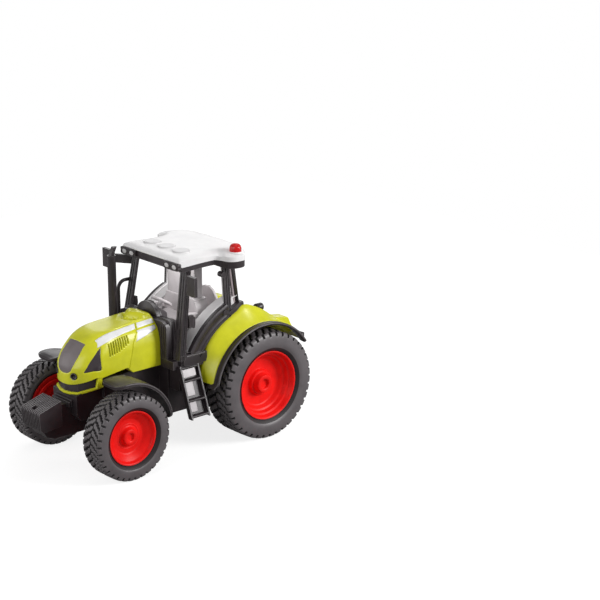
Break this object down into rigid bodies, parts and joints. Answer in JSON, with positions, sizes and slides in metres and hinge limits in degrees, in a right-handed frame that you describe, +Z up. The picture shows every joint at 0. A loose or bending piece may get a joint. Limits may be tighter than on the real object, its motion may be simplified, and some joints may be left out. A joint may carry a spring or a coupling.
{
  "type": "toy farm tractor",
  "caption": "Plastic push-along toy farm tractor with a leaning nose, open cab, lugged tyres on free-turning wheels and a drawbar for a toy trailer.",
  "frame": {"origin": "on the ground under the middle of the tractor's outline", "axes": "+Z up, the nose points to -Y, the tractor's left side is +X"},
  "size_m": [0.1118, 0.217, 0.1467],
  "materials": {
    "green_plastic": "gloss yellow-green",
    "black_plastic": "satin black",
    "red_plastic": "gloss red",
    "tyre_rubber": "soft matt dark grey",
    "white_plastic": "satin white",
    "pale_plastic": "satin pale grey",
    "dark_panel": "gloss dark grey",
    "beacon_red": "clear red",
    "lamp_clear": "clear lamp plastic",
    "axle_steel": "bright steel wire"
  },
  "bodies": {
    "tractor": {"beacon": "beacon_red", "cab_floor": "pale_plastic", "cab_platform": "black_plastic", "cab_rear": "black_plastic", "cab_side_left": "black_plastic", "cab_side_right": "black_plastic", "cowl": "black_plastic", "door_fittings": "black_plastic", "exhaust": "black_plastic", "fender_lamps": "black_plastic", "fender_lip_left": "black_plastic", "fender_lip_right": "black_plastic", "front_axle_beam": "black_plastic", "front_axle_pin": "axle_steel", "front_chassis": "black_plastic", "front_fender_left": "black_plastic", "front_fender_right": "black_plastic", "front_weight": "black_plastic", "grille": "dark_panel", "handrail": "black_plastic", "hood": "green_plastic", "mirror_left": "black_plastic", "mirror_right": "black_plastic", "nose_band": "black_plastic", "nose_lamps": "lamp_clear", "nose_lip": "green_plastic", "rear_axle_pin": "axle_steel", "rear_chassis": "black_plastic", "rear_fender_left": "green_plastic", "rear_fender_right": "green_plastic", "rear_hitch": "black_plastic", "roof": "white_plastic", "roof_buttons": "pale_plastic", "roof_frame": "black_plastic", "roof_lamps": "black_plastic", "seat": "pale_plastic", "side_vent_left": "dark_panel", "side_vent_right": "dark_panel", "steering_column": "black_plastic", "steering_wheel": "black_plastic", "step_plates_left": "black_plastic", "step_plates_right": "black_plastic", "steps_left": "black_plastic", "steps_right": "black_plastic", "tail_lamps": "beacon_red", "weight_bracket": "black_plastic"},
    "wheel_front_left": {"rim_front_left": "red_plastic", "tyre_front_left": "tyre_rubber"},
    "wheel_front_right": {"rim_front_right": "red_plastic", "tyre_front_right": "tyre_rubber"},
    "wheel_rear_left": {"rim_rear_left": "red_plastic", "tyre_rear_left": "tyre_rubber"},
    "wheel_rear_right": {"rim_rear_right": "red_plastic", "tyre_rear_right": "tyre_rubber"}
  },
  "joints": [
    {"name": "front_left_wheel_spin", "type": "hinge", "parent": "tractor", "child": "wheel_front_left", "pos_m": [0.0455, -0.06095, 0.0306], "axis": [1, 0, 0], "continuous": true},
    {"name": "front_right_wheel_spin", "type": "hinge", "parent": "tractor", "child": "wheel_front_right", "pos_m": [-0.0455, -0.06095, 0.0306], "axis": [1, 0, 0], "continuous": true},
    {"name": "rear_left_wheel_spin", "type": "hinge", "parent": "tractor", "child": "wheel_rear_left", "pos_m": [0.0455, 0.06095, 0.04], "axis": [1, 0, 0], "continuous": true},
    {"name": "rear_right_wheel_spin", "type": "hinge", "parent": "tractor", "child": "wheel_rear_right", "pos_m": [-0.0455, 0.06095, 0.04], "axis": [1, 0, 0], "continuous": true}
  ]
}
